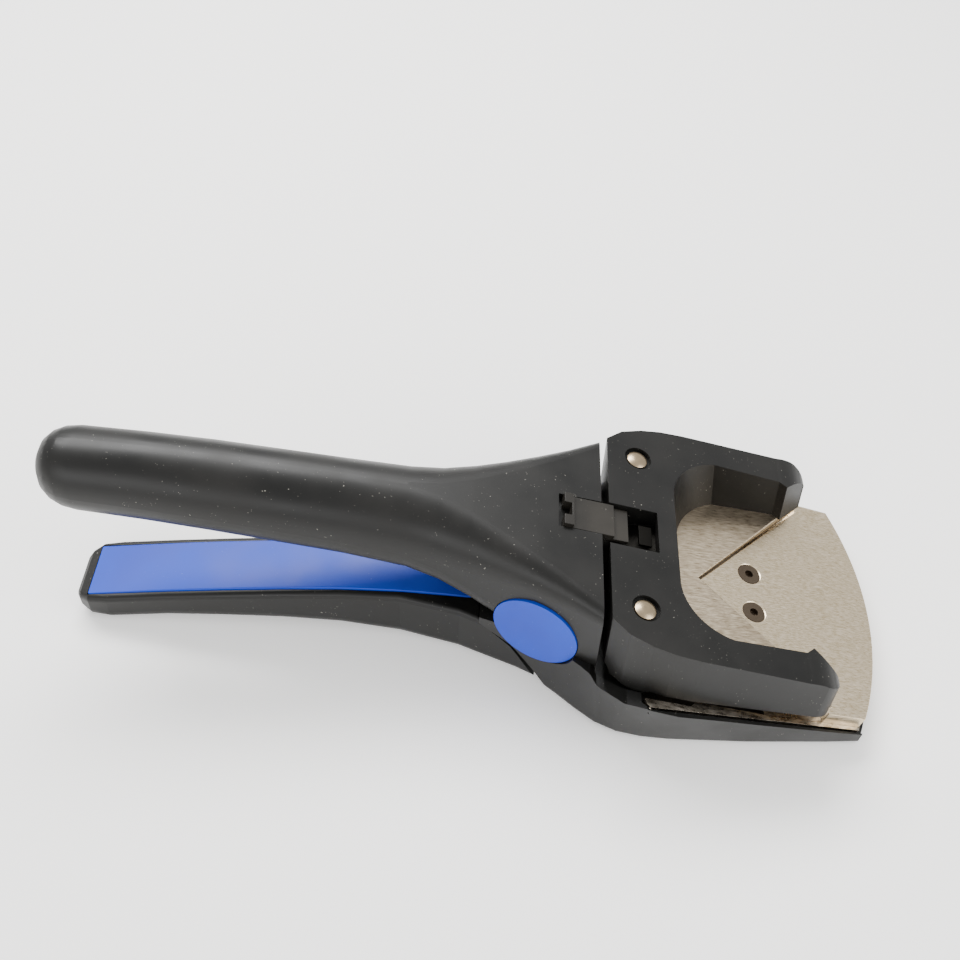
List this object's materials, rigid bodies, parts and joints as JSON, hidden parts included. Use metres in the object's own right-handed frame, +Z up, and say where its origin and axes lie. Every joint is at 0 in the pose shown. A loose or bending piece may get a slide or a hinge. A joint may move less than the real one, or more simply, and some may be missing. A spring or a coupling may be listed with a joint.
{
  "type": "corner trimmer",
  "caption": "Squeeze-handled corner trimmer: a notched blade in a black U-shaped guide block shears past a pointed steel anvil; blue inlaid lower grip, sliding lock.",
  "frame": {"origin": "centre of the bounding box footprint, on the surface the tool stands on", "axes": "+X towards the jaws, +Y to the left of the mid-plane, +Z up"},
  "size_m": [0.273, 0.1036, 0.0776],
  "materials": {
    "black_plastic": "satin moulded black",
    "grey_plastic": "satin dark grey",
    "blue_plastic": "satin blue",
    "brushed_steel": "ground along the length",
    "scuffed_steel": "scuffed plate",
    "dark_steel": "black oxide",
    "nickel": "nickel plated",
    "brass": "plain"
  },
  "bodies": {
    "frame": {"top_handle": "black_plastic", "jaw_body": "black_plastic", "base_plate": "scuffed_steel", "anvil_plate": "brushed_steel", "anvil_screws": "dark_steel", "base_screws": "dark_steel", "neck_screws": "dark_steel", "pivot_pin": "brushed_steel", "near_pivot_cap": "blue_plastic", "far_pivot_cap": "blue_plastic", "thrust_washers": "brushed_steel", "return_spring": "brushed_steel"},
    "blade_lever": {"blade_arm": "scuffed_steel", "pivot_bush": "brass", "grip_shell": "black_plastic", "grip_screws": "dark_steel", "grip_inlay": "blue_plastic", "guide_block": "black_plastic", "v_blade": "brushed_steel", "block_pins": "nickel", "latch_catch": "scuffed_steel"},
    "latch": {"latch_slide": "grey_plastic"}
  },
  "joints": [
    {"name": "lever_hinge", "type": "hinge", "parent": "frame", "child": "blade_lever", "pos_m": [0.0215, 0, 0.03], "axis": [0, -1, 0], "range_deg": [-2, 5.8], "stiffness_Nm_per_rad": 0.25, "springref_deg": 28.65, "deforming": ["return_spring"]},
    {"name": "latch_travel", "type": "slide", "parent": "frame", "child": "latch", "axis": [0.9728, 0, -0.2317], "range_m": [0, 0.006]}
  ]
}
